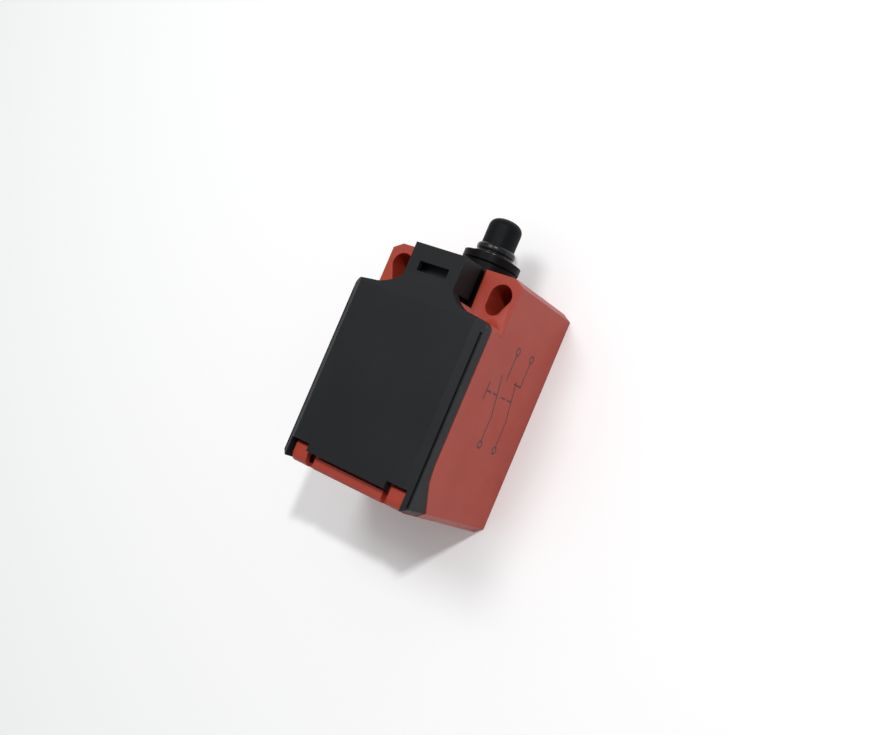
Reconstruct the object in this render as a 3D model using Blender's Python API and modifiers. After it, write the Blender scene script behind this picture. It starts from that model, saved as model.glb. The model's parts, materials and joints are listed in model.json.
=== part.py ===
"""A narrow moulded limit switch with a plain top plunger, on its mounting face.

The origin is on the mounting face, midway between the two mounting slots. +X runs across the body, +Y runs
from the cable end towards the plunger and +Z runs out through the cover. Every constant below is in
millimetres: "across" is X, "along" is the distance from the cable end, and "up" is the height above the
mounting face. place() turns the three into the part's own metres.
"""

import math

import bmesh
import bpy
from mathutils import Matrix, Vector

MM = 0.001
WELD = 1e-6

# Housing
HOLE_LINE = 42.2
HALF_WIDTH = 15.5
EAR_TOP = 47.1
EAR_FRONT = 22.35
EAR_CORNER = (2.04, 1.24)
CABLE_CORNER = (1.8, 1.3)
RIM = 26.3
BACK_WALL = 2.4
END_WALL = 2.6
TOP_WALL = (35.2, 37.6)
CAVITY_HALF = 13.0
LEDGE_FLOOR = 23.9
MOUTH_HALF = 12.9
MOUTH = (6.0, 34.8)
CHANNEL_HALF = 5.8
CHANNEL_FLOOR = 2.0
CHANNEL_EDGE = 1.1
SLOT_LOW = (11.35, 41.05, 1.9)
SLOT_HIGH = (11.9, 43.0, 2.4)
SIDE_CUT = 13.7
FLARE = ((1.4, 22.8), (6.7, 25.75), (9.8, 26.3))
LIP = (8.5, 2.2, 27.9)
LIP_CHAMFER = 0.65
HOOK_ACROSS = (10.1, 13.6)
HOOK_NOSE = 3.9
HOOK_FRONT = 28.5
HOOK_UNDER = 27.35
HOOK_HEEL_ROUND = 1.6
HOOK_NOSE_ROUND = 0.6
TONGUE = (2.6, 36.5, 45.3, 23.2, 24.6)
TOOTH = (2.0, 44.7, 45.3, 25.9)

# Shoulders and neck, shared by the housing's raised rim and the cover
SHOULDER_ALONG = 37.2
SHOULDER_ROUND = (1.6, 1.4)
SHOULDER_STEPS = 4
NECK_CENTRE = (11.5, 44.5)
NECK_RADIUS = 7.0
TAB_HALF = 5.9

# Cable inlet, a moulded 20 mm thread
ENTRY_UP = 13.4
ENTRY_MAJOR = 10.0
ENTRY_MINOR = 9.2
ENTRY_PITCH = 1.5
ENTRY_DEPTH = 8.6
BOSS_RADIUS = 11.8

# Cover and its hinge
HINGE = (1.6, 26.5)
HINGE_BAR = 0.75
HINGE_POCKET = 0.85
POCKET_MOUTH = 4.5
HINGE_PIN_END = 10.6
COVER_FRONT = 30.0
COVER_SEAT = 26.5
COVER_WALL = 1.2
PLATE_UNDER = 28.2
COVER_LOWER_EDGE = 2.75
LEG_CORNER = ((14.3, 0.35), (15.5, 1.15))
LEG_INNER = 13.8
LEG_SWEEP = 3.05
COVER_FLARE = ((2.29, 23.53), (6.6, 25.92), (9.9, 26.5))
CHAMFER = ((13.7, 30.0), (15.25, 29.0), (15.5, 28.9))
RAMP = ((36.6, 30.0), (40.2, 28.8))
TAB_UNDER = 27.6
TAB_WALL_FOOT = 22.75
TAB_WALL_START = 40.3
NOTCH = (9.6, 14.2, 4.2)
WINDOW = (3.46, 41.9, 43.8)
CATCH_ALONG = (41.2, 44.4)
CATCH_UP = (25.3, 26.2)
HOLLOW_START = 4.6
GASKET_OUTER = (14.1, 4.75, 35.9)
GASKET_INNER = (13.0, 5.85, 34.8)
GASKET_CORNERS = (1.1, 0.55)
GASKET_UP = (26.4, 28.1)

# Plunger head
AXIS_UP = 11.2
TURRET_HALF = 5.5
TURRET_ALONG = (37.9, 47.3)
TURRET_UP = (2.3, 21.9)
TURRET_NECK = 5.4
FLANGE_RADIUS = 5.95
FLANGE = (49.8, 51.3)
TURRET_BORE = 3.6
TURRET_FLOOR = 39.2
STEM_HOLE = 1.8
SEAL_BORE = 3.52
SEAL_LIP = ((4.4, 51.45), (4.4, 51.75), (3.85, 52.05), (3.85, 52.25))
SEAL_BEAD = ((3.98, 52.6), (3.98, 53.3), (3.8, 53.7))
SEAL_PROFILE = SEAL_LIP + SEAL_BEAD
CAP_FOOT = 47.6
CAP_CROWN = ((3.45, 57.7), (3.2, 58.45), (2.6, 59.05), (1.6, 59.5))
CAP_TIP = 59.7
CAP_SOCKET = 54.0
STEM_RADIUS = 1.5
STEM_ALONG = (30.7, 53.8)
CLIP_ALONG = (34.3, 34.9)
CLIP_RADII = (1.6, 2.6)
CLIP_MOUTH = 1.3
PLUNGER_SPRING = (39.4, 47.4, 2.9, 0.5, 5)

# Contact block
BLOCK_HALF = 12.3
BLOCK_ALONG = (13.2, 34.0)
BLOCK_UP = (2.7, 16.6)
BLOCK_WALL = 1.2
CHAMBER_HALF = 8.8
LID = (7.3, 16.9, 18.1)
PUSHER_RADIUS = 2.7
PUSHER_ALONG = (29.4, 31.9)
PUSHER_SOCKET = 30.5
BLOCK_TOP_HOLE = 3.0
CARRIER_HALF = 3.2
CARRIER_ALONG = (17.4, 26.4)
CARRIER_POCKET = (2.1, 1.4)
WINDOW_HALF_UP = 1.7
NO_WINDOW = (19.4, 21.6)
NC_WINDOW = (22.3, 24.5)
BRIDGE_HALF = (6.8, 1.4)
BRIDGE_THICK = 0.6
NO_BRIDGE = 19.5
NC_BRIDGE = 23.8
CONTACT_ACROSS = 5.6
CONTACT_TIP = (1.0, 0.3)
BRIDGE_SPRINGS = {"no": (20.3, 21.4), "nc": (22.5, 23.6)}
BRIDGE_SPRING = (0.95, 0.28, 3)
CARRIER_SPRING = (14.6, 18.6, 1.6, 0.4, 4)
OVERTRAVEL_SPRING = (25.2, 29.2, 1.6, 0.4, 4)

# Terminals, named by the usual numbers of their pairs
SHEET = 0.8
ARM_INNER = 4.3
RISER_ACROSS = (7.8, 8.6)
ARM_UP = (9.8, 12.6)
PAD_ACROSS = (7.8, 12.2)
PAD_UP = 16.75
PAD_HALF_ALONG = 2.8
SCREW_ACROSS = 10.2
TERMINALS = {"no": (17.4, 15.7, 18.9), "nc": (30.0, 25.1, 30.6)}
TERMINAL_NAMES = {("no", -1): "terminal_13", ("no", 1): "terminal_14", ("nc", -1): "terminal_21",
                  ("nc", 1): "terminal_22"}
SCREW_HOLE = 1.7
SCREW_SHANK = 1.5
SCREW_HEAD = (2.5, 18.45, 20.2)
SCREW_FOOT = 11.0
SCREW_HOLE_FOOT = 10.6
CLAMP_HALF = 2.5
CLAMP_UP = (17.65, 18.3)
FIXING_SCREW = (10.4, 22.6)
FIXING_HOLE = 1.2
FIXING_SHANK = 1.0
FIXING_HEAD = (1.8, 16.8, 18.1)
FIXING_FOOT = 1.2
FIXING_HOLE_FOOT = 1.0
RECESS_WIDTH = 0.55
RECESS_DEPTH = 0.9
RECESS_REACH = 0.7

SMALL_ROUND = 16
ROUND = 24
FINE_ROUND = 32
BEYOND = 2.0

MATERIALS = {
    "red_shell": ((0.55, 0.07, 0.045), 0.42, 0.0),
    "black_cover": ((0.045, 0.047, 0.05), 0.5, 0.0),
    "black_head": ((0.025, 0.026, 0.028), 0.42, 0.0),
    "seal_rubber": ((0.012, 0.012, 0.013), 0.28, 0.0),
    "plunger_grey": ((0.06, 0.065, 0.075), 0.45, 0.0),
    "spring_steel": ((0.55, 0.55, 0.56), 0.3, 1.0),
    "block_ivory": ((0.62, 0.58, 0.48), 0.5, 0.0),
    "block_black": ((0.03, 0.03, 0.032), 0.45, 0.0),
    "contact_brass": ((0.72, 0.52, 0.24), 0.32, 1.0),
    "screw_zinc": ((0.62, 0.62, 0.64), 0.3, 1.0),
}


def clear_scene():
    for obj in list(bpy.data.objects):
        bpy.data.objects.remove(obj, do_unlink=True)


def make_collection(name):
    collection = bpy.data.collections.new(name)
    bpy.context.scene.collection.children.link(collection)
    return collection


def make_material(name):
    colour, roughness, metallic = MATERIALS[name]
    material = bpy.data.materials.new(name)
    material.use_nodes = True
    shader = material.node_tree.nodes["Principled BSDF"]
    shader.inputs["Base Color"].default_value = (*colour, 1.0)
    shader.inputs["Roughness"].default_value = roughness
    shader.inputs["Metallic"].default_value = metallic
    return material


clear_scene()
PARTS = make_collection("limit_switch")
CUTTERS = make_collection("cutters")
FINISH = {name: make_material(name) for name in MATERIALS}


def place(across, along, up):
    return Vector((across, along - HOLE_LINE, up)) * MM


def add(name, data, finish):
    """A new object: one of the part's nodes where it has a finish, and a hidden cutter where it has none."""
    obj = bpy.data.objects.new(name, data)
    (PARTS if finish else CUTTERS).objects.link(obj)
    if finish:
        data.materials.append(FINISH[finish])
    else:
        obj.hide_render = True
        obj.display_type = "WIRE"
    return obj


def mesh_from(shape, name):
    mesh = bpy.data.meshes.new(name)
    shape.to_mesh(mesh)
    shape.free()
    return mesh


def block(name, across, along, up, finish=None):
    """A box between two values on each axis, with its origin in its middle."""
    low = place(across[0], along[0], up[0])
    high = place(across[1], along[1], up[1])
    shape = bmesh.new()
    bmesh.ops.create_cube(shape, size=1.0, matrix=Matrix.Diagonal((*(high - low), 1.0)))
    obj = add(name, mesh_from(shape, name), finish)
    obj.location = (low + high) / 2
    return obj


TURNS = {
    "X": Matrix(((0, 0, 1), (1, 0, 0), (0, 1, 0))),
    "Y": Matrix(((1, 0, 0), (0, 0, -1), (0, 1, 0))),
    "Z": Matrix.Identity(3),
}


def prism(name, outlines, axis, span, finish=None):
    """Flat outlines given a thickness along an axis: X takes (along, up) points, Y (across, up) and Z
    (across, along). An outline inside another is a hole."""
    curve = bpy.data.curves.new(name, "CURVE")
    curve.dimensions = "2D"
    curve.fill_mode = "BOTH"
    curve.extrude = (span[1] - span[0]) / 2 * MM
    for outline in outlines:
        spline = curve.splines.new("POLY")
        spline.points.add(len(outline) - 1)
        for corner, (a, b) in zip(spline.points, outline):
            corner.co = (a * MM, b * MM, 0.0, 1.0)
        spline.use_cyclic_u = True
    flat = bpy.data.objects.new(name + "_outline", curve)
    CUTTERS.objects.link(flat)
    bpy.context.view_layer.update()
    mesh = bpy.data.meshes.new_from_object(flat.evaluated_get(bpy.context.evaluated_depsgraph_get()))
    bpy.data.objects.remove(flat)
    shape = bmesh.new()
    shape.from_mesh(mesh)
    bmesh.ops.remove_doubles(shape, verts=shape.verts, dist=WELD)
    bmesh.ops.recalc_face_normals(shape, faces=shape.faces)
    shape.to_mesh(mesh)
    shape.free()
    mesh.materials.clear()
    obj = add(name, mesh, finish)
    middle = (span[0] + span[1]) / 2
    obj.rotation_euler = TURNS[axis].to_euler()
    obj.location = {"X": place(middle, 0, 0), "Y": place(0, middle, 0), "Z": place(0, 0, middle)}[axis]
    return obj


def turned(name, profile, centre, axis="Y", finish=None, steps=ROUND, closed=False):
    """A profile of (radius, height) points, listed down its outer side, turned about the Y or the Z axis."""
    edges = [(i, i + 1) for i in range(len(profile) - 1)]
    if closed:
        edges.append((len(profile) - 1, 0))
    mesh = bpy.data.meshes.new(name)
    mesh.from_pydata([(radius * MM, 0.0, height * MM) for radius, height in profile], edges, [])
    obj = add(name, mesh, finish)
    screw = obj.modifiers.new("Turn", "SCREW")
    screw.axis = "Z"
    screw.steps = steps
    screw.render_steps = steps
    screw.use_merge_vertices = True
    screw.merge_threshold = WELD
    screw.use_smooth_shade = True
    if axis == "Y":
        obj.rotation_euler = (-math.pi / 2, 0.0, 0.0)
    obj.location = centre
    return obj


def rod(name, radius, span, centre, axis="Y", finish=None, steps=ROUND):
    """A round bar; span is counted along the axis from the centre."""
    profile = [(0.0, span[1]), (radius, span[1]), (radius, span[0]), (0.0, span[0])]
    return turned(name, profile, centre, axis, finish, steps)


def coil(name, spring, up=AXIS_UP, points_a_turn=12):
    """A compression spring along Y: (start, end, mean radius, wire diameter, turns)."""
    start, end, radius, wire, turns = spring
    curve = bpy.data.curves.new(name, "CURVE")
    curve.dimensions = "3D"
    curve.bevel_depth = wire / 2 * MM
    curve.bevel_resolution = 2
    curve.use_fill_caps = True
    spline = curve.splines.new("POLY")
    count = turns * points_a_turn
    spline.points.add(count)
    half = (end - start - wire) / 2
    for i, point in enumerate(spline.points):
        angle = 2 * math.pi * i / points_a_turn
        height = (2 * i / count - 1) * half
        point.co = (radius * math.cos(angle) * MM, height * MM, radius * math.sin(angle) * MM, 1.0)
    obj = add(name, curve, "spring_steel")
    obj.location = place(0, (start + end) / 2, up)
    return obj


def combine(target, operation, tools):
    for tool in tools:
        boolean = target.modifiers.new(operation.title(), "BOOLEAN")
        boolean.operation = operation
        boolean.solver = "EXACT"
        boolean.object = tool
    return target


def cut(target, *tools):
    return combine(target, "DIFFERENCE", tools)


def join(target, *tools):
    return combine(target, "UNION", tools)


def arc(centre, radius, start, end, steps):
    """Points of a circular arc between two angles in degrees."""
    angles = [math.radians(start + (end - start) * i / steps) for i in range(steps + 1)]
    return [(centre[0] + radius * math.cos(a), centre[1] + radius * math.sin(a)) for a in angles]


def mirrored(half):
    """A whole outline from its right half, which runs up from the cable end."""
    return half + [(-across, along) for across, along in reversed(half)]


def both_sides(low, high):
    """A span across on the right and its mirror on the left."""
    return ((low, high), (-high, -low))


def shoulder_and_neck():
    """The right half's outline from the top of the straight side up to the top of the tab."""
    reach, drop = SHOULDER_ROUND
    corner = []
    for i in range(SHOULDER_STEPS + 1):
        angle = math.pi / 2 * i / SHOULDER_STEPS
        across = HALF_WIDTH - reach * (1 - math.cos(angle))
        corner.append((across, SHOULDER_ALONG - drop * (1 - math.sin(angle))))
    end = 180 + math.degrees(math.acos((NECK_CENTRE[0] - TAB_HALF) / NECK_RADIUS))
    neck = arc(NECK_CENTRE, NECK_RADIUS, 270, end, 6)
    return corner + neck + [(TAB_HALF, EAR_TOP)]


def egg_slot():
    """The hull of two unequal circles, the wider one towards the plunger."""
    low_across, low_along, low_radius = SLOT_LOW
    high_across, high_along, high_radius = SLOT_HIGH
    low = arc((low_across, low_along), low_radius, 190, 350, 8)
    high = arc((high_across, high_along), high_radius, -5, 185, 10)
    return low + high


def make_housing():
    corner_x, corner_y = CABLE_CORNER
    ear_x, ear_y = EAR_CORNER
    foot = [(HALF_WIDTH - corner_x, 0.0), (HALF_WIDTH, corner_y)]
    ears = [(HALF_WIDTH, EAR_TOP - ear_y), (HALF_WIDTH - ear_x, EAR_TOP)]
    housing = prism("housing", [mirrored(foot + ears)], "Z", (0.0, EAR_FRONT), "red_shell")
    raised = prism("raised_rim", [mirrored(foot + shoulder_and_neck())], "Z", (EAR_FRONT - BEYOND, RIM))
    channel = prism("ear_channel", [mirrored([
        (CHANNEL_HALF, CHANNEL_FLOOR),
        (CHANNEL_HALF, EAR_FRONT - CHANNEL_EDGE),
        (CHANNEL_HALF + CHANNEL_EDGE, EAR_FRONT),
        (CHANNEL_HALF + CHANNEL_EDGE, RIM + BEYOND),
    ])], "Y", (TOP_WALL[1], EAR_TOP + BEYOND))
    cavity = block("cavity", (-CAVITY_HALF, CAVITY_HALF), (END_WALL, TOP_WALL[0]), (BACK_WALL, LEDGE_FLOOR))
    mouth = block("mouth", (-MOUTH_HALF, MOUTH_HALF), MOUTH, (LEDGE_FLOOR - BEYOND, RIM + BEYOND))
    join(housing, raised)
    cut(housing, channel, cavity, mouth)
    slot = egg_slot()
    for side in (1, -1):
        outline = [(side * across, along) for across, along in slot]
        cut(housing, prism("mounting_slot", [outline], "Z", (-BEYOND, EAR_FRONT + BEYOND)))
    entry_centre = place(0, 0, ENTRY_UP)
    boss_along = (END_WALL / 2, ENTRY_DEPTH)
    join(housing, rod("entry_boss", BOSS_RADIUS, boss_along, entry_centre, steps=FINE_ROUND))
    add_hinge_side(housing)
    add_latch(housing)
    cut(housing, entry_thread(entry_centre))
    way = (TOP_WALL[0] - BEYOND, TOP_WALL[1] + BEYOND)
    cut(housing, rod("stem_way", STEM_HOLE, way, place(0, 0, AXIS_UP)))
    for side in (1, -1):
        centre = place(side * FIXING_SCREW[0], FIXING_SCREW[1], 0)
        span = (FIXING_HOLE_FOOT, BACK_WALL + BEYOND)
        cut(housing, rod("fixing_hole", FIXING_HOLE, span, centre, "Z", steps=SMALL_ROUND))


def entry_thread(centre):
    """The inlet's cutter: a rod with a ridge for each turn of the thread."""
    turns = int((ENTRY_DEPTH + BEYOND) / ENTRY_PITCH)
    profile = [(0.0, ENTRY_DEPTH + BEYOND), (ENTRY_MINOR, ENTRY_DEPTH + BEYOND)]
    for i in range(turns, 0, -1):
        ridge = (i - 0.5) * ENTRY_PITCH
        if ridge < ENTRY_DEPTH - ENTRY_PITCH / 2:
            profile.append((ENTRY_MINOR, ridge + ENTRY_PITCH / 2))
            profile.append((ENTRY_MAJOR, ridge))
    profile += [(ENTRY_MAJOR, -BEYOND), (0.0, -BEYOND)]
    return turned("entry_thread", profile, centre, steps=FINE_ROUND)


def add_hinge_side(housing):
    """The cable end's front edge: recesses for the cover's legs, the lip and the two hinge hooks."""
    lip_half, lip_along, lip_top = LIP
    lip = prism("lip", [[
        (0.0, RIM - BEYOND),
        (lip_along, RIM - BEYOND),
        (lip_along, lip_top),
        (LIP_CHAMFER, lip_top),
        (0.0, lip_top - LIP_CHAMFER),
    ]], "X", (-lip_half, lip_half))
    join(housing, lip)
    open_top = RIM + 3 * BEYOND
    recess = [(-BEYOND, FLARE[0][1]), *FLARE, (FLARE[-1][0], open_top), (-BEYOND, open_top)]
    nose = (HOOK_NOSE - HOOK_NOSE_ROUND, HOOK_FRONT - HOOK_NOSE_ROUND)
    heel = (HOOK_HEEL_ROUND, HOOK_FRONT - HOOK_HEEL_ROUND)
    hook = [
        (0.0, RIM - BEYOND),
        (HOOK_NOSE, RIM - BEYOND),
        *arc(nose, HOOK_NOSE_ROUND, 0, 90, 3),
        *arc(heel, HOOK_HEEL_ROUND, 90, 180, 6),
    ]
    pocket = [
        (POCKET_MOUTH, HINGE[1] - HINGE_POCKET),
        (POCKET_MOUTH, HOOK_UNDER),
        *arc(HINGE, HINGE_POCKET, 90, 270, 8),
    ]
    for span in both_sides(SIDE_CUT, HALF_WIDTH + BEYOND):
        cut(housing, prism("leg_recess", [recess], "X", span))
    for span in both_sides(*HOOK_ACROSS):
        join(housing, prism("hook", [hook], "X", span))
    for span in both_sides(HOOK_ACROSS[0] - SHEET / 2, HOOK_ACROSS[1] + SHEET / 2):
        cut(housing, prism("hinge_pocket", [pocket], "X", span))


def add_latch(housing):
    """The tongue under the cover's tab, with a tooth at its end beyond the tab's catch shelf."""
    half, start, end, low, high = TONGUE
    join(housing, block("latch_tongue", (-half, half), (start, end), (low, high)))
    half, start, end, high = TOOTH
    join(housing, block("latch_tooth", (-half, half), (start, end), (low + SHEET, high)))


def make_cover():
    outline = mirrored([*LEG_CORNER, *shoulder_and_neck()])
    cover = prism("cover", [outline], "Z", (TAB_WALL_FOOT, COVER_FRONT), "black_cover")
    open_top = COVER_FRONT + BEYOND
    low = TAB_WALL_FOOT - BEYOND
    half = HALF_WIDTH + BEYOND
    sweep = arc(HINGE, LEG_SWEEP, 220, 273, 6)
    under = [
        (-BEYOND, low),
        (-BEYOND, sweep[0][1]),
        *sweep,
        *COVER_FLARE,
        (TAB_WALL_START, COVER_SEAT),
        (TAB_WALL_START, low),
    ]
    cut(cover, prism("under_rim", [under], "X", (-half, half)))
    edge = [*CHAMFER, (half, CHAMFER[-1][1]), (half, open_top), (CHAMFER[0][0], open_top)]
    for side in (1, -1):
        outline = [(side * across, up) for across, up in edge]
        cut(cover, prism("side_chamfer", [outline], "Y", (-BEYOND, EAR_TOP + BEYOND)))
    ramp = [*RAMP, (EAR_TOP + BEYOND, RAMP[1][1]), (EAR_TOP + BEYOND, open_top), (RAMP[0][0], open_top)]
    cut(cover, prism("neck_ramp", [ramp], "X", (-half, half)))
    hollow_out(cover, low, open_top)
    pin = arc(HINGE, HINGE_BAR, 0, 360 * (1 - 1 / SMALL_ROUND), SMALL_ROUND - 1)
    for span in both_sides(HINGE_PIN_END, NOTCH[1] + SHEET / 2):
        join(cover, prism("hinge_pin", [pin], "X", span))


def hollow_out(cover, low, open_top):
    """The room under the cover's plate and tab, its window and catch shelf, and the edge at the hinge."""
    hollow_half = HALF_WIDTH - COVER_WALL
    hollow_end = SHOULDER_ALONG - COVER_WALL
    tab_half = TAB_HALF - COVER_WALL
    tab_along = (hollow_end - BEYOND, EAR_TOP - COVER_WALL)
    edge_half = NOTCH[0] + SHEET
    cut(
        cover,
        block("hollow", (-hollow_half, hollow_half), (HOLLOW_START, hollow_end), (low, PLATE_UNDER)),
        block("leg_gap", (-LEG_INNER, LEG_INNER), (-BEYOND, HOLLOW_START + SHEET), (low, PLATE_UNDER)),
        block("tab_hollow", (-tab_half, tab_half), tab_along, (low, TAB_UNDER)),
        block("lower_edge", (-edge_half, edge_half), (-BEYOND, COVER_LOWER_EDGE), (low, open_top)),
        block("window", (-WINDOW[0], WINDOW[0]), WINDOW[1:], (low, open_top)),
    )
    for span in both_sides(*NOTCH[:2]):
        cut(cover, block("notch", span, (-BEYOND, NOTCH[2]), (low, open_top)))
    shelf_half = tab_half + SHEET
    join(cover, block("catch_shelf", (-shelf_half, shelf_half), CATCH_ALONG, CATCH_UP))


def clipped(half, start, end, corner):
    """The right half's outline of a rectangle with its corners cut off."""
    return [(half - corner, start), (half, start + corner), (half, end - corner), (half - corner, end)]


def make_gasket():
    outer = mirrored(clipped(*GASKET_OUTER, GASKET_CORNERS[0]))
    inner = mirrored(clipped(*GASKET_INNER, GASKET_CORNERS[1]))
    prism("cover_gasket", [outer, inner], "Z", GASKET_UP, "seal_rubber")


def make_plunger_head():
    axis = place(0, 0, AXIS_UP)
    turret = block("turret", (-TURRET_HALF, TURRET_HALF), TURRET_ALONG, TURRET_UP, "black_head")
    neck = [
        (0.0, FLANGE[1]),
        (FLANGE_RADIUS, FLANGE[1]),
        (FLANGE_RADIUS, FLANGE[0]),
        (TURRET_NECK, FLANGE[0]),
        (TURRET_NECK, TURRET_ALONG[1] - BEYOND),
        (0.0, TURRET_ALONG[1] - BEYOND),
    ]
    join(turret, turned("turret_flange", neck, axis, steps=FINE_ROUND))
    cut(turret, rod("turret_bore", TURRET_BORE, (TURRET_FLOOR, FLANGE[1] + BEYOND), axis, steps=FINE_ROUND))
    cut(turret, rod("turret_stem_way", STEM_HOLE, (TURRET_ALONG[0] - BEYOND, TURRET_FLOOR + SHEET), axis))
    outer = list(reversed(SEAL_PROFILE))
    bore = [(SEAL_BORE, SEAL_PROFILE[0][1]), (SEAL_BORE, SEAL_PROFILE[-1][1])]
    turned("wiper_seal", outer + bore, axis, finish="seal_rubber", steps=FINE_ROUND, closed=True)


def make_plunger():
    axis = place(0, 0, AXIS_UP)
    clearance = CLIP_RADII[0]
    cap = [
        (0.0, CAP_TIP),
        *reversed(CAP_CROWN),
        (CAP_CROWN[0][0], CAP_FOOT),
        (clearance, CAP_FOOT),
        (clearance, CAP_SOCKET),
        (0.0, CAP_SOCKET),
    ]
    turned("plunger_cap", cap, axis, finish="plunger_grey", steps=FINE_ROUND)
    rod("plunger_stem", STEM_RADIUS, STEM_ALONG, axis, finish="spring_steel")
    inner, outer = CLIP_RADII
    ring = [(outer, CLIP_ALONG[1]), (outer, CLIP_ALONG[0]), (inner, CLIP_ALONG[0]), (inner, CLIP_ALONG[1])]
    clip = turned("retaining_clip", ring, axis, finish="spring_steel", closed=True)
    mouth = block("clip_mouth", (-CLIP_MOUTH, CLIP_MOUTH), CLIP_ALONG, (AXIS_UP, AXIS_UP + outer + BEYOND))
    mouth.scale.y = BEYOND
    cut(clip, mouth)
    pusher = [
        (0.0, PUSHER_SOCKET),
        (inner, PUSHER_SOCKET),
        (inner, PUSHER_ALONG[1]),
        (PUSHER_RADIUS, PUSHER_ALONG[1]),
        (PUSHER_RADIUS, PUSHER_ALONG[0]),
        (0.0, PUSHER_ALONG[0]),
    ]
    turned("pusher", pusher, axis, finish="block_black")
    coil("plunger_spring", PLUNGER_SPRING, points_a_turn=14)


def make_contact_block():
    base = block("block_base", (-BLOCK_HALF, BLOCK_HALF), BLOCK_ALONG, BLOCK_UP, "block_ivory")
    inside = (BLOCK_ALONG[0] + BLOCK_WALL, BLOCK_ALONG[1] - BLOCK_WALL)
    top = BLOCK_UP[1] + BEYOND
    cut(base, block("chamber", (-CHAMBER_HALF, CHAMBER_HALF), inside, (BLOCK_UP[0] + BLOCK_WALL, top)))
    span = (inside[1] - BEYOND, BLOCK_ALONG[1] + BEYOND)
    cut(base, rod("block_top_hole", BLOCK_TOP_HOLE, span, place(0, 0, AXIS_UP)))
    for side in (1, -1):
        for screw_along, _, _ in TERMINALS.values():
            centre = place(side * SCREW_ACROSS, screw_along, 0)
            hole = (SCREW_HOLE_FOOT, top)
            cut(base, rod("terminal_hole", SCREW_HOLE, hole, centre, "Z", steps=SMALL_ROUND))
        centre = place(side * FIXING_SCREW[0], FIXING_SCREW[1], 0)
        cut(base, rod("base_fixing_hole", FIXING_HOLE, (0.0, top), centre, "Z", steps=SMALL_ROUND))
    lid_half, lid_low, lid_high = LID
    lid_along = (BLOCK_ALONG[0] + SHEET / 4, BLOCK_ALONG[1] - SHEET / 4)
    lid = block("block_lid", (-lid_half, lid_half), lid_along, (lid_low, lid_high), "block_black")
    bevel = lid.modifiers.new("Edge", "BEVEL")
    bevel.width = SHEET / 2 * MM
    bevel.segments = 1


def make_carrier():
    pocket_radius, pocket_depth = CARRIER_POCKET
    low, high = CARRIER_ALONG
    carrier = block("contact_carrier", (-CARRIER_HALF, CARRIER_HALF), CARRIER_ALONG,
                    (AXIS_UP - CARRIER_HALF, AXIS_UP + CARRIER_HALF), "block_ivory")
    axis = place(0, 0, AXIS_UP)
    cut(carrier, rod("low_pocket", pocket_radius, (low - BEYOND, low + pocket_depth), axis))
    cut(carrier, rod("high_pocket", pocket_radius, (high - pocket_depth, high + BEYOND), axis))
    window_up = (AXIS_UP - WINDOW_HALF_UP, AXIS_UP + WINDOW_HALF_UP)
    reach = CARRIER_HALF + BEYOND
    for span in (NO_WINDOW, NC_WINDOW):
        cut(carrier, block("bridge_window", (-reach, reach), span, window_up))
    coil("carrier_spring", CARRIER_SPRING)
    coil("overtravel_spring", OVERTRAVEL_SPRING)


def make_bridge(kind, start, facing):
    """A moving bridge with a contact tip near each end, on the side that meets the fixed contacts."""
    half, half_up = BRIDGE_HALF
    radius, height = CONTACT_TIP
    up = (AXIS_UP - half_up, AXIS_UP + half_up)
    bridge = block("bridge_" + kind, (-half, half), (start, start + BRIDGE_THICK), up, "contact_brass")
    face = start if facing < 0 else start + BRIDGE_THICK
    for side in (1, -1):
        span = sorted((face - facing * height / 2, face + facing * height))
        centre = place(side * CONTACT_ACROSS, 0, AXIS_UP)
        join(bridge, rod("bridge_tip", radius, span, centre, steps=SMALL_ROUND))
    radius, wire, turns = BRIDGE_SPRING
    coil("bridge_spring_" + kind, (*BRIDGE_SPRINGS[kind], radius, wire, turns), points_a_turn=10)


def make_terminal(kind, side):
    """A bent strip: the arm with the fixed contact, the riser and the pad under its screw."""
    screw_along, arm_along, riser_end = TERMINALS[kind]
    facing = 1 if kind == "no" else -1
    name = TERMINAL_NAMES[kind, side]

    def span(low, high):
        return (low, high) if side > 0 else (-high, -low)

    pad_along = (min(screw_along - PAD_HALF_ALONG, arm_along), screw_along + PAD_HALF_ALONG)
    terminal = block(name, span(*PAD_ACROSS), pad_along, (PAD_UP, PAD_UP + SHEET), "contact_brass")
    riser = block("riser", span(*RISER_ACROSS), (arm_along, riser_end), (ARM_UP[0], PAD_UP + SHEET / 2))
    arm = block("arm", span(ARM_INNER, RISER_ACROSS[1] - SHEET / 4), (arm_along, arm_along + SHEET),
                (ARM_UP[0] + SHEET / 4, ARM_UP[1]))
    face = arm_along + SHEET if facing > 0 else arm_along
    radius, height = CONTACT_TIP
    tip_span = sorted((face - facing * height, face + facing * height))
    tip = rod("fixed_tip", radius, tip_span, place(side * CONTACT_ACROSS, 0, AXIS_UP), steps=SMALL_ROUND)
    join(terminal, riser, arm, tip)
    centre = place(side * SCREW_ACROSS, screw_along, 0)
    hole = (PAD_UP - BEYOND, CLAMP_UP[1] + BEYOND)
    cut(terminal, rod("pad_hole", SCREW_HOLE, hole, centre, "Z", steps=SMALL_ROUND))
    number = name[-2:]
    clamp_across = (side * SCREW_ACROSS - CLAMP_HALF, side * SCREW_ACROSS + CLAMP_HALF)
    clamp_along = (screw_along - CLAMP_HALF, screw_along + CLAMP_HALF)
    clamp = block("clamp_plate_" + number, clamp_across, clamp_along, CLAMP_UP, "screw_zinc")
    cut(clamp, rod("clamp_hole", SCREW_HOLE, hole, centre, "Z", steps=SMALL_ROUND))
    make_screw("terminal_screw_" + number, centre, SCREW_HEAD, SCREW_SHANK, SCREW_FOOT)


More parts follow.
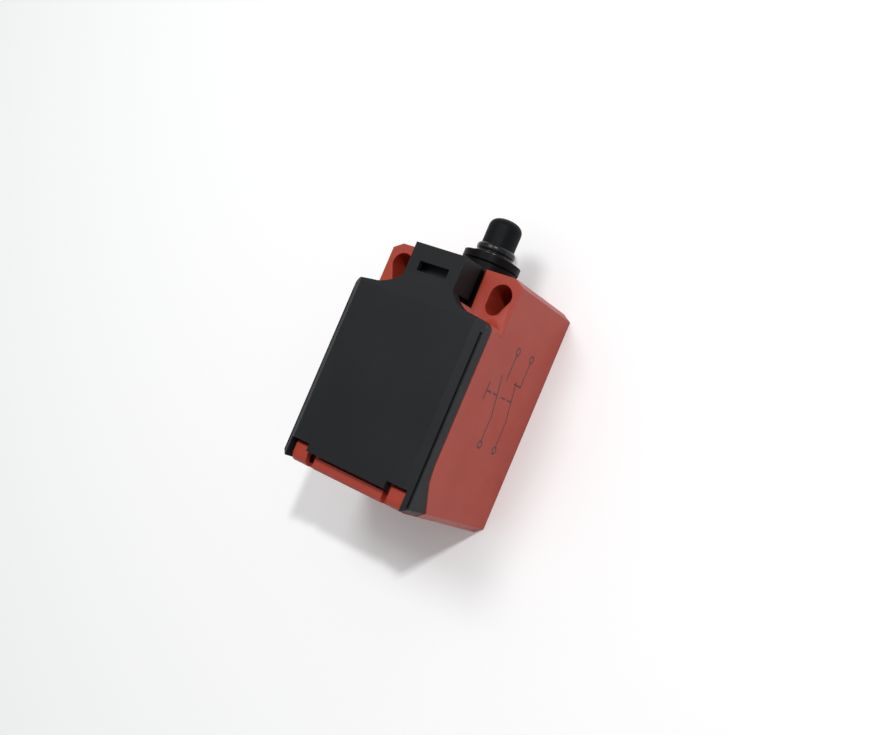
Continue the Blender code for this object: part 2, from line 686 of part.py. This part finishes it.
def make_screw(name, centre, head, shank, foot):
    """A pan-head screw with a cross recess, its axis along Z."""
    head_radius, head_low, head_high = head
    edge = head_radius / 4
    profile = [
        (0.0, head_high),
        (head_radius - edge, head_high),
        (head_radius, head_high - edge),
        (head_radius, head_low),
        (shank, head_low),
        (shank, foot + edge),
        (shank - edge, foot),
        (0.0, foot),
    ]
    screw = turned(name, profile, centre, "Z", "screw_zinc", steps=SMALL_ROUND)
    half = RECESS_WIDTH / 2 * head_radius / SCREW_HEAD[0]
    arm = head_radius * RECESS_REACH
    across = centre.x / MM
    along = centre.y / MM + HOLE_LINE
    up = (head_high - RECESS_DEPTH, head_high + BEYOND)
    cut(screw, block("recess", (across - arm, across + arm), (along - half, along + half), up))
    cut(screw, block("recess", (across - half, across + half), (along - arm, along + arm), up))


def main():
    make_housing()
    make_cover()
    make_gasket()
    make_plunger_head()
    make_plunger()
    make_contact_block()
    make_carrier()
    make_bridge("no", NO_BRIDGE, -1)
    make_bridge("nc", NC_BRIDGE, 1)
    for kind, side in TERMINAL_NAMES:
        make_terminal(kind, side)
    for side, place_name in ((-1, "left"), (1, "right")):
        centre = place(side * FIXING_SCREW[0], FIXING_SCREW[1], 0)
        make_screw("fixing_screw_" + place_name, centre, FIXING_HEAD, FIXING_SHANK, FIXING_FOOT)


main()
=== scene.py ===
"""Looks for the limit switch: finishes, finer meshes, floor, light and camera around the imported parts.

The frame is in metres: +X runs across the body, +Y from the cable end to the plunger and +Z out through the
cover. Sizes below are in millimetres and become metres through MM, except where a comment says metres. Places
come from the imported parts' boxes where they can.
"""

import json
import math

import bmesh
import bpy
from mathutils import Euler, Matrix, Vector


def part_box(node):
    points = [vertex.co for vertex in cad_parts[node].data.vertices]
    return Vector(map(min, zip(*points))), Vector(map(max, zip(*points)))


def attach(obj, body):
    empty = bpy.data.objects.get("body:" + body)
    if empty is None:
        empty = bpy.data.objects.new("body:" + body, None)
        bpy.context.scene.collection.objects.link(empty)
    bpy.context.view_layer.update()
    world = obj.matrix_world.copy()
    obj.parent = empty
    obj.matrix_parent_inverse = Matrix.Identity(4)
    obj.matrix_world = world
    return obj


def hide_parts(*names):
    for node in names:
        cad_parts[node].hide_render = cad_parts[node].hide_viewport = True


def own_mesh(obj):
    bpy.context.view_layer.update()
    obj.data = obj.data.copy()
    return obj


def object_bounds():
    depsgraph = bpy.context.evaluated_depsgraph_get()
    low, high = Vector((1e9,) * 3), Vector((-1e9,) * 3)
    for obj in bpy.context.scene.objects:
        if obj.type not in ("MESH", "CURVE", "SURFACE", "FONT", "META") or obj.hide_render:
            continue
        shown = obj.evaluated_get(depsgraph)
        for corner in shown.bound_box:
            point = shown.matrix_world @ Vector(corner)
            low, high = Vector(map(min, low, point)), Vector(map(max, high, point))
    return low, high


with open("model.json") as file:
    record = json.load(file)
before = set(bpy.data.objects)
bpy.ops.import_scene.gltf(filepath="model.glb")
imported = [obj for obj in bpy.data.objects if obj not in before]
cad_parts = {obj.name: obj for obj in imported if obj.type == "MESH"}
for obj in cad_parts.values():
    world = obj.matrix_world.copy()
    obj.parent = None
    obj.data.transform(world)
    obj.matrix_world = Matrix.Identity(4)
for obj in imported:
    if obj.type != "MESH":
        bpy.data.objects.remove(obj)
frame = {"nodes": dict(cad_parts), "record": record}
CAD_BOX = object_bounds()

MM = 0.001
WELD = 1e-6
BODY_OF = {node: body for body, nodes in frame["record"]["behaviour"]["bodies"].items() for node in nodes}
SLOT_OF = {part["node"]: part["material_slot"] for part in frame["record"]["subparts"]}

# Camera: turned in degrees, and clipped in metres
CAMERA_PLACE = (114.5, -24.5, 188.9)
CAMERA_TURN = (16.6, 29.42, 26.6)
CAMERA_LENS = 44.06
SENSOR = 36.0
CLIP = (0.01, 10.0)

# Studio: the floor's side in metres, and its gap under the part
FLOOR_SIZE = 4.0
FLOOR_GAP = 0.05
FLOOR_COLOUR = (0.93, 0.935, 0.94)
FLOOR_ROUGHNESS = 0.75
SKY_COLOUR = (1.0, 1.0, 1.0)
SKY_STRENGTH = 0.5

# Lamps: direction from the part, distance and size in metres, power in watts
KEY = ((13.5, 13.0, 29.0), 0.6, 0.035, 1.55)
FILL = ((-5.4, 11.4, 29.0), 0.5, 0.16, 0.74)

# Shading: the angles in degrees below which faces blend and below which they become one, and the radius that
# the finishes give an edge
SMOOTH_BELOW = 32.0
FLAT_WITHIN = 0.5
EDGE_ROUND = 0.22
EDGE_SAMPLES = 6

# Finishes: the middle stretch of a noise's values, and how many millimetres its features are across
MIDDLE = (0.3, 0.7)
CLOUD = 14.0
SPECK = 0.35
RUB = 2.2
SCUFF = 0.12
PATCH = 5.0
SINK = 7.0
DUST = 0.5
RINGS = 0.09
STAIN = 1.6
BRUSH = 0.06

# Print on the shell's right side: two contacts, their push button and its dashed link, with along and up
# counted from the part's origin
INK = (0.03, 0.012, 0.014)
MARK_LINE = 0.34
CONTACT_ROWS = ((14.6, False), (8.6, True))
ENDS_ALONG = (-25.7, -6.9)
END_RING = 0.7
RING_CORNERS = 8
PIVOT_ALONG = -20.0
TIP_ALONG = -12.2
TIP_RISE = 2.2
STOP_ALONG = -12.6
STOP_RISE = 2.6
LINK_ALONG = -16.0
DASHES = (9.8, 12.4, 15.8, 18.2)
DASH = 1.4
BUTTON_UP = 20.0
BUTTON_HALF = 1.6

# Cover's grooves along the outer edge of each side chamfer: how far in from the side, half width, floor
# below the plate, and the lengths left whole at the cable end and at the tab's end
GROOVE_IN = 0.3
GROOVE_HALF = 0.17
GROOVE_FLOOR = 1.4
GROOVE_ENDS = (1.0, 12.2)

# Plunger cap and wiper seal; the seal's outline is (share of the foot's radius, share of the length)
TURNED_STEPS = 96
CAP_CROWN = 2.3
CAP_CROWN_STEPS = 16
CAP_ROUND = 2.5
CAP_EDGE = 0.12
CAP_BORE = 1.6
CAP_SOCKET = 6.4
SEAL_BORE = 3.52
SEAL_LIP = 1.06
SEAL_OUTLINE = ((1.0, 0.0), (1.0, 0.17), (0.865, 0.27), (0.865, 0.36), (0.92, 0.5), (0.92, 0.82))
SEAL_CORNER = 0.16
CORNER_STEPS = 4
CORNER_REACH = 0.45

# Springs: wire diameter and turns; and for those that shorten, the joint and the share of length they keep
WIRES = {"plunger_spring": (0.5, 5), "carrier_spring": (0.4, 4), "overtravel_spring": (0.4, 4),
         "bridge_spring_no": (0.28, 3), "bridge_spring_nc": (0.28, 3)}
SQUASHED = {"plunger_spring": ("plunger_slide", 0.4375), "carrier_spring": ("carrier_slide", 0.4375),
            "overtravel_spring": ("plunger_slide", 0.4375)}
CLOSED_TURNS = 0.75
COIL_STEPS = 36
WIRE_STEPS = 10


# ------------------------------------------------------------------ camera, floor and light


def make_camera():
    data = bpy.data.cameras.new("camera")
    data.lens = CAMERA_LENS
    data.sensor_width = SENSOR
    data.clip_start, data.clip_end = CLIP
    camera = bpy.data.objects.new("camera", data)
    bpy.context.scene.collection.objects.link(camera)
    camera.location = Vector(CAMERA_PLACE) * MM
    camera.rotation_euler = Euler([math.radians(angle) for angle in CAMERA_TURN], "XYZ")
    bpy.context.scene.camera = camera


def area_light(name, toward, distance, size, power):
    """A square lamp that lies in the given direction from the part and looks at it."""
    data = bpy.data.lights.new(name, "AREA")
    data.size = size
    data.energy = power
    lamp = bpy.data.objects.new(name, data)
    bpy.context.scene.collection.objects.link(lamp)
    direction = Vector(toward).normalized()
    middle = (Vector(CAD_BOX[0]) + Vector(CAD_BOX[1])) / 2
    lamp.location = middle + direction * distance
    lamp.rotation_euler = direction.to_track_quat("Z", "Y").to_euler()


def make_studio():
    shape = bmesh.new()
    bmesh.ops.create_grid(shape, x_segments=4, y_segments=4, size=FLOOR_SIZE / 2)
    mesh = bpy.data.meshes.new("floor")
    shape.to_mesh(mesh)
    shape.free()
    floor = bpy.data.objects.new("floor", mesh)
    floor.location.z = CAD_BOX[0][2] - FLOOR_GAP * MM
    bpy.context.scene.collection.objects.link(floor)
    finish = bpy.data.materials.new("floor")
    finish.use_nodes = True
    shader = finish.node_tree.nodes["Principled BSDF"]
    shader.inputs["Base Color"].default_value = (*FLOOR_COLOUR, 1.0)
    shader.inputs["Roughness"].default_value = FLOOR_ROUGHNESS
    mesh.materials.append(finish)
    world = bpy.data.worlds.new("studio")
    world.use_nodes = True
    background = world.node_tree.nodes["Background"]
    background.inputs["Color"].default_value = (*SKY_COLOUR, 1.0)
    background.inputs["Strength"].default_value = SKY_STRENGTH
    bpy.context.scene.world = world
    area_light("key", *KEY)
    area_light("fill", *FILL)
    bpy.context.scene.view_settings.view_transform = "Standard"


# ------------------------------------------------------------------ materials


class Graph:
    """A material's node tree, with a short call for each kind of node that the finishes use."""

    def __init__(self, name, colour, roughness, metallic=0.0, specular=0.5):
        self.material = bpy.data.materials.new(name)
        self.material.use_nodes = True
        self.tree = self.material.node_tree
        self.shader = self.tree.nodes["Principled BSDF"]
        self.shader.inputs["Base Color"].default_value = (*colour, 1.0)
        self.shader.inputs["Roughness"].default_value = roughness
        self.shader.inputs["Metallic"].default_value = metallic
        self.shader.inputs["Specular IOR Level"].default_value = specular
        self.place = self.tree.nodes.new("ShaderNodeTexCoord").outputs["Object"]

    def link(self, value, socket):
        """Joins an output to a socket, or sets a plain number or colour on it."""
        if isinstance(value, bpy.types.NodeSocket):
            self.tree.links.new(value, socket)
        else:
            socket.default_value = value

    def math(self, operation, a, b=0.0, c=0.0):
        node = self.tree.nodes.new("ShaderNodeMath")
        node.operation = operation
        for value, socket in zip((a, b, c), node.inputs):
            self.link(value, socket)
        return node.outputs[0]

    def noise(self, size, detail=2.0, rough=0.5, stretch=(1.0, 1.0, 1.0)):
        """Noise with features about size millimetres across, and longer where an axis has a small stretch."""
        mapping = self.tree.nodes.new("ShaderNodeMapping")
        self.link(self.place, mapping.inputs["Vector"])
        mapping.inputs["Scale"].default_value = [axis / (size * MM) for axis in stretch]
        node = self.tree.nodes.new("ShaderNodeTexNoise")
        self.link(mapping.outputs["Vector"], node.inputs["Vector"])
        node.inputs["Scale"].default_value = 1.0
        node.inputs["Detail"].default_value = detail
        node.inputs["Roughness"].default_value = rough
        return node.outputs["Fac"]

    def spread(self, value, low, high, to_low=0.0, to_high=1.0):
        node = self.tree.nodes.new("ShaderNodeMapRange")
        for given, socket in zip((value, low, high, to_low, to_high), node.inputs):
            self.link(given, socket)
        return node.outputs[0]

    def mix(self, share, a, b):
        node = self.tree.nodes.new("ShaderNodeMix")
        node.data_type = "RGBA"
        self.link(share, node.inputs[0])
        for colour, socket in ((a, node.inputs[6]), (b, node.inputs[7])):
            self.link((*colour, 1.0) if isinstance(colour, tuple) else colour, socket)
        return node.outputs[2]

    def rounding(self, radius):
        """The normal rounded over the part's edges, and a share that is 0 on the flat and 1 on an edge."""
        bevel = self.tree.nodes.new("ShaderNodeBevel")
        bevel.samples = EDGE_SAMPLES
        bevel.inputs["Radius"].default_value = radius * MM
        flat = self.tree.nodes.new("ShaderNodeNewGeometry")
        dot = self.tree.nodes.new("ShaderNodeVectorMath")
        dot.operation = "DOT_PRODUCT"
        self.link(bevel.outputs["Normal"], dot.inputs[0])
        self.link(flat.outputs["Normal"], dot.inputs[1])
        return bevel.outputs["Normal"], self.spread(dot.outputs["Value"], 0.995, 0.86)

    def bump(self, height, distance, strength=1.0, below=None):
        node = self.tree.nodes.new("ShaderNodeBump")
        node.inputs["Strength"].default_value = strength
        node.inputs["Distance"].default_value = distance * MM
        self.link(height, node.inputs["Height"])
        if below is not None:
            self.link(below, node.inputs["Normal"])
        return node.outputs["Normal"]

    def finish(self, colour, roughness, normal):
        self.link(colour, self.shader.inputs["Base Color"])
        self.link(roughness, self.shader.inputs["Roughness"])
        self.link(normal, self.shader.inputs["Normal"])
        return self.material


def shade(colour, factor):
    return tuple(min(1.0, channel * factor) for channel in colour)


def moulded(name, colour, roughness, grain=0.12, depth=0.012, mottle=0.05, worn=1.25, specular=0.5,
            marks=None):
    """Moulded plastic: fine grain, faint flow mottling, rubbed edges and hairline scuffs."""
    graph = Graph(name, colour, roughness, specular=specular)
    cloud = graph.spread(graph.noise(CLOUD, 3.0), *MIDDLE)
    tone = graph.mix(cloud, shade(colour, 1 - mottle), shade(colour, 1 + mottle))
    speck = graph.spread(graph.noise(SPECK, 1.0), 0.62, 0.75, 0.0, 0.25)
    tone = graph.mix(speck, tone, shade(colour, 1 + 3 * mottle))
    rounding, edge = graph.rounding(EDGE_ROUND)
    rubbed = graph.math("MULTIPLY", edge, graph.spread(graph.noise(RUB, 4.0, 0.65), 0.38, 0.66))
    tone = graph.mix(graph.math("MULTIPLY", rubbed, 0.6), tone, shade(colour, worn))
    if marks:
        tone = graph.mix(marks(graph), tone, INK)
    scuff = graph.noise(SCUFF, 2.0, 0.6, stretch=(1.0, 0.035, 0.3))
    scuff = graph.spread(scuff, 0.66, 0.74, 0.0, 0.07)
    patch = graph.spread(graph.noise(PATCH, 3.0), *MIDDLE, roughness - 0.04, roughness + 0.05)
    rough = graph.math("SUBTRACT", graph.math("ADD", patch, scuff), graph.math("MULTIPLY", rubbed, 0.08))
    normal = graph.bump(graph.noise(SINK, 1.0), 0.02, 0.6, rounding)
    normal = graph.bump(graph.noise(grain, 2.0, 0.55), depth, 0.8, normal)
    return graph.finish(tone, rough, normal)


def rubber(name, colour, roughness, specular):
    """Glossy moulded rubber with a little dust in its pits."""
    graph = Graph(name, colour, roughness, specular=specular)
    dust = graph.spread(graph.noise(DUST, 4.0, 0.7), 0.56, 0.74, 0.0, 0.5)
    tone = graph.mix(dust, colour, shade(colour, 4.0))
    gloss = graph.spread(graph.noise(1.5, 3.0), *MIDDLE, roughness - 0.06, roughness + 0.1)
    rough = graph.math("ADD", gloss, graph.math("MULTIPLY", dust, 0.5))
    return graph.finish(tone, rough, graph.bump(graph.noise(0.6, 3.0), 0.05, 0.7))


def turned_plastic(name, colour, roughness, specular):
    """Machined dark plastic: fine rings around the plunger's axis and a few bright scuffs."""
    graph = Graph(name, colour, roughness, specular=specular)
    rings = graph.noise(RINGS, 1.0, 0.5, stretch=(0.04, 1.0, 0.04))
    cloud = graph.spread(graph.noise(3.0, 3.0), *MIDDLE)
    tone = graph.mix(cloud, shade(colour, 0.88), shade(colour, 1.15))
    scuff = graph.noise(DUST, 4.0, 0.7, stretch=(1.0, 0.25, 1.0))
    scuff = graph.spread(scuff, 0.6, 0.72, 0.0, 0.4)
    tone = graph.mix(scuff, tone, shade(colour, 1.7))
    patch = graph.spread(cloud, 0.0, 1.0, roughness - 0.05, roughness + 0.05)
    rough = graph.math("ADD", patch, graph.math("MULTIPLY", rings, 0.08))
    return graph.finish(tone, rough, graph.bump(rings, 0.012, 0.8))


def metal(name, colour, roughness, stain=0.3):
    """Pressed or plated metal: brushed grain, faint staining and bright rubbed edges."""
    graph = Graph(name, colour, roughness, metallic=1.0)
    cloud = graph.spread(graph.noise(STAIN, 4.0, 0.6), 0.35, 0.7, 0.0, 1.0)
    tone = graph.mix(graph.math("MULTIPLY", cloud, stain), colour, shade(colour, 0.6))
    rounding, edge = graph.rounding(EDGE_ROUND / 2)
    tone = graph.mix(graph.math("MULTIPLY", edge, 0.6), tone, shade(colour, 1.3))
    line = graph.noise(BRUSH, 2.0, 0.6, stretch=(1.0, 1.0, 0.05))
    brush = graph.spread(line, *MIDDLE, roughness - 0.08, roughness + 0.1)
    rough = graph.math("ADD", brush, graph.math("MULTIPLY", cloud, 0.1))
    return graph.finish(tone, rough, graph.bump(line, 0.004, 0.6, rounding))


def contact_symbols(graph):
    """A plain wiring sketch of the two contacts, as bars of ink on the shell's right side."""
    split = graph.tree.nodes.new("ShaderNodeSeparateXYZ")
    graph.link(graph.place, split.inputs[0])
    x, y, z = split.outputs
    side = graph.math("GREATER_THAN", x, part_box("housing")[1].x - MARK_LINE * MM)

    def bar(start, end):
        """A straight line of ink from one (along, up) point to another."""
        middle = [(a + b) / 2 * MM for a, b in zip(start, end)]
        length = math.dist(start, end) * MM
        along = [(b - a) * MM / length for a, b in zip(start, end)]
        from_y = graph.math("SUBTRACT", y, middle[0])
        from_z = graph.math("SUBTRACT", z, middle[1])
        reach = graph.math("ADD", graph.math("MULTIPLY", from_y, along[0]),
                           graph.math("MULTIPLY", from_z, along[1]))
        off = graph.math("SUBTRACT", graph.math("MULTIPLY", from_y, along[1]),
                         graph.math("MULTIPLY", from_z, along[0]))
        inside = graph.math("COMPARE", reach, 0.0, length / 2 + MARK_LINE / 2 * MM)
        return graph.math("MULTIPLY", inside, graph.math("COMPARE", off, 0.0, MARK_LINE / 2 * MM))

    ink = None
    for start, end in symbol_lines():
        stroke = bar(start, end)
        ink = stroke if ink is None else graph.math("MAXIMUM", ink, stroke)
    fade = graph.spread(graph.noise(0.25, 3.0, 0.6), 0.3, 0.5, 0.75, 1.0)
    return graph.math("MULTIPLY", graph.math("MULTIPLY", ink, side), fade)


def symbol_lines():
    """The strokes of an open contact above a closed one, with the push button that works both."""
    lines = []
    for up, closed in CONTACT_ROWS:
        near, far = ENDS_ALONG
        lines.append(((near + END_RING, up), (PIVOT_ALONG, up)))
        lines.append(((STOP_ALONG, up), (far - END_RING, up)))
        lines.append(((PIVOT_ALONG, up), (TIP_ALONG, up + TIP_RISE)))
        if closed:
            lines.append(((STOP_ALONG, up), (STOP_ALONG, up + STOP_RISE)))
        for end in ENDS_ALONG:
            angles = [2 * math.pi * i / RING_CORNERS for i in range(RING_CORNERS + 1)]
            ring = [(end + END_RING * math.cos(a), up + END_RING * math.sin(a)) for a in angles]
            lines += list(zip(ring, ring[1:]))
    lines += [((LINK_ALONG, up), (LINK_ALONG, up + DASH)) for up in DASHES]
    lines.append(((LINK_ALONG - BUTTON_HALF, BUTTON_UP), (LINK_ALONG + BUTTON_HALF, BUTTON_UP)))
    return lines


def make_finishes():
    return {
        "red_shell": moulded("red_shell", (0.335, 0.034, 0.016), 0.44, grain=0.14, depth=0.012, worn=1.2,
                             specular=0.4, marks=contact_symbols),
        "black_cover": moulded("black_cover", (0.0112, 0.0125, 0.014), 0.48, grain=0.16, depth=0.022,
                               mottle=0.1, worn=2.2, specular=0.17),
        "black_head": moulded("black_head", (0.0045, 0.0037, 0.0042), 0.42, grain=0.2, depth=0.01,
                              mottle=0.08, worn=2.4, specular=0.07),
        "seal_rubber": rubber("seal_rubber", (0.005, 0.005, 0.0055), 0.2, 0.35),
        "plunger_grey": turned_plastic("plunger_grey", (0.0045, 0.0055, 0.0068), 0.46, 0.08),
        "spring_steel": metal("spring_steel", (0.5, 0.5, 0.51), 0.26),
        "block_ivory": moulded("block_ivory", (0.6, 0.55, 0.44), 0.42, worn=1.15),
        "block_black": moulded("block_black", (0.016, 0.016, 0.018), 0.4, worn=2.0),
        "contact_brass": metal("contact_brass", (0.7, 0.48, 0.2), 0.28, stain=0.45),
        "screw_zinc": metal("screw_zinc", (0.58, 0.58, 0.6), 0.27, stain=0.35),
    }


# ------------------------------------------------------------------ pieces


def stand_in(name, shape, node, finishes):
    """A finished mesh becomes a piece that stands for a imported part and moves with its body."""
    mesh = bpy.data.meshes.new(name)
    shape.to_mesh(mesh)
    shape.free()
    mesh.shade_smooth()
    mesh.set_sharp_from_angle(angle=math.radians(SMOOTH_BELOW))
    mesh.materials.append(finishes[SLOT_OF[node]])
    piece = bpy.data.objects.new(name, mesh)
    bpy.context.scene.collection.objects.link(piece)
    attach(piece, BODY_OF[node])
    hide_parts(node)
    return piece


def packed_shape(node):
    """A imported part's own shape, with its flat stretches made whole faces."""
    shape = bmesh.new()
    shape.from_mesh(frame["nodes"][node].data)
    bmesh.ops.remove_doubles(shape, verts=shape.verts, dist=WELD)
    limit = math.radians(FLAT_WITHIN)
    bmesh.ops.dissolve_limit(shape, angle_limit=limit, verts=shape.verts, edges=shape.edges)
    return shape


def even_normals(piece):
    even = piece.modifiers.new("Even normals", "WEIGHTED_NORMAL")
    even.keep_sharp = True


def keep_shape(node, finishes):
    even_normals(stand_in(node + "_body", packed_shape(node), node, finishes))


def make_cover(finishes):
    """The cover, with the fine groove that runs along the outer edge of each side chamfer."""
    piece = stand_in("cover_body", packed_shape("cover"), "cover", finishes)
    for side in (1, -1):
        cut_groove(piece, side)
    even_normals(piece)


def cut_groove(piece, side):
    low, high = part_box("cover")
    shape = bmesh.new()
    bmesh.ops.create_cube(shape, size=1.0)
    length = high.y - low.y - sum(GROOVE_ENDS) * MM
    bmesh.ops.scale(shape, vec=(2 * GROOVE_HALF * MM, length, 2 * GROOVE_FLOOR * MM), verts=shape.verts)
    centre = (side * (high.x - GROOVE_IN * MM), low.y + GROOVE_ENDS[0] * MM + length / 2, high.z)
    bmesh.ops.translate(shape, vec=centre, verts=shape.verts)
    mesh = bpy.data.meshes.new("groove")
    shape.to_mesh(mesh)
    shape.free()
    cutter = bpy.data.objects.new("groove", mesh)
    bpy.context.scene.collection.objects.link(cutter)
    groove = piece.modifiers.new("Groove", "BOOLEAN")
    groove.operation = "DIFFERENCE"
    groove.solver = "EXACT"
    groove.object = cutter
    bpy.context.view_layer.update()
    cut = bpy.data.meshes.new_from_object(piece.evaluated_get(bpy.context.evaluated_depsgraph_get()))
    piece.modifiers.clear()
    piece.data = cut
    bpy.data.objects.remove(cutter)


def turned(profile, centre, closed=False):
    """A profile of (radius, along) points in metres, turned about the plunger's axis."""
    shape = bmesh.new()
    rings = []
    for radius, along in profile:
        if radius == 0.0:
            rings.append([shape.verts.new((centre.x, along, centre.z))])
            continue
        ring = []
        for i in range(TURNED_STEPS):
            angle = 2 * math.pi * i / TURNED_STEPS
            across = radius * math.sin(angle)
            up = radius * math.cos(angle)
            ring.append(shape.verts.new((centre.x + across, along, centre.z + up)))
        rings.append(ring)
    pairs = list(zip(rings, rings[1:]))
    if closed:
        pairs.append((rings[-1], rings[0]))
    for first, second in pairs:
        for i in range(TURNED_STEPS):
            after = (i + 1) % TURNED_STEPS
            if len(first) == 1:
                shape.faces.new((first[0], second[i], second[after]))
            elif len(second) == 1:
                shape.faces.new((first[i], first[after], second[0]))
            else:
                shape.faces.new((first[i], first[after], second[after], second[i]))
    bmesh.ops.recalc_face_normals(shape, faces=shape.faces)
    return shape


def soft_corners(points, radius):
    """A profile with each inner corner rounded over by a short curve."""
    done = [points[0]]
    for before, corner, after in zip(points, points[1:], points[2:]):
        reach_in = min(radius, math.dist(before, corner) * CORNER_REACH)
        reach_out = min(radius, math.dist(after, corner) * CORNER_REACH)
        start = [c + (b - c) * reach_in / math.dist(before, corner) for b, c in zip(before, corner)]
        end = [c + (a - c) * reach_out / math.dist(after, corner) for a, c in zip(after, corner)]
        for i in range(CORNER_STEPS + 1):
            t = i / CORNER_STEPS
            done.append(tuple((1 - t) ** 2 * s + 2 * t * (1 - t) * c + t ** 2 * e
                              for s, c, e in zip(start, corner, end)))
    return done + [points[-1]]


def make_plunger_cap(finishes):
    """The plunger's cap: a softly domed crown, a straight side and a broken lower edge."""
    low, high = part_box("plunger_cap")
    centre = (low + high) / 2
    radius = (high.x - low.x) / 2
    shoulder = high.y - CAP_CROWN * MM
    profile = []
    for i in range(CAP_CROWN_STEPS + 1):
        angle = math.pi / 2 * i / CAP_CROWN_STEPS
        across = radius * math.sin(angle) ** (2 / CAP_ROUND)
        profile.append((across, shoulder + CAP_CROWN * MM * math.cos(angle) ** (2 / CAP_ROUND)))
    profile[0] = (0.0, high.y)
    edge = CAP_EDGE * MM
    bore = CAP_BORE * MM
    depth = CAP_SOCKET * MM
    profile += [(radius, low.y + edge), (radius - edge, low.y), (bore, low.y), (bore, low.y + depth)]
    profile.append((0.0, low.y + depth))
    stand_in("plunger_cap_body", turned(profile, centre), "plunger_cap", finishes)


def make_wiper_seal(finishes):
    """The rubber wiper: a flat foot, a waist and a full bead that thins to the lip on the plunger."""
    low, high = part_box("wiper_seal")
    centre = (low + high) / 2
    foot = (high.x - low.x) / 2
    length = high.y - low.y
    bore = SEAL_BORE * MM
    outer = [(foot * across, low.y + length * along) for across, along in SEAL_OUTLINE]
    lip = [(bore * SEAL_LIP, high.y), (bore, high.y)]
    profile = soft_corners([(bore, low.y), *outer, *lip], SEAL_CORNER * MM)
    stand_in("wiper_seal_body", turned(profile, centre, closed=True), "wiper_seal", finishes)


def make_spring(node, finishes):
    """A compression spring with closed end coils, on the plunger's axis."""
    wire, turns = WIRES[node]
    low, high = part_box(node)
    centre = (low + high) / 2
    wire *= MM / 2
    radius = (high.x - low.x) / 2 - wire
    free = high.y - low.y - 2 * wire
    shape = bmesh.new()
    rings = []
    steps = turns * COIL_STEPS
    for i in range(steps + 1):
        turn = i / COIL_STEPS
        rise = min(max((turn - CLOSED_TURNS) / (turns - 2 * CLOSED_TURNS), 0.0), 1.0)
        end_rise = (min(turn, CLOSED_TURNS) + max(turn - turns + CLOSED_TURNS, 0.0)) * 2 * wire
        along = low.y + wire + end_rise + rise * (free - 3 * wire)
        angle = 2 * math.pi * turn
        outward = Vector((math.cos(angle), 0.0, math.sin(angle)))
        middle = Vector((centre.x, along, centre.z)) + outward * radius
        ring = []
        for k in range(WIRE_STEPS):
            around = 2 * math.pi * k / WIRE_STEPS
            ring.append(shape.verts.new(middle + outward * wire * math.cos(around)
                                        + Vector((0.0, 1.0, 0.0)) * wire * math.sin(around)))
        rings.append(ring)
    for first, second in zip(rings, rings[1:]):
        for k in range(WIRE_STEPS):
            after = (k + 1) % WIRE_STEPS
            shape.faces.new((first[k], first[after], second[after], second[k]))
    shape.faces.new(rings[0])
    shape.faces.new(rings[-1])
    bmesh.ops.recalc_face_normals(shape, faces=shape.faces)
    piece = stand_in(node + "_coil", shape, node, finishes)
    if node in SQUASHED:
        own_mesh(piece)


def main():
    make_camera()
    make_studio()
    finishes = make_finishes()
    make_cover(finishes)
    make_plunger_cap(finishes)
    make_wiper_seal(finishes)
    for node in WIRES:
        make_spring(node, finishes)
    done = {"cover", "plunger_cap", "wiper_seal", *WIRES}
    for node in sorted(set(frame["nodes"]) - done):
        keep_shape(node, finishes)


main()
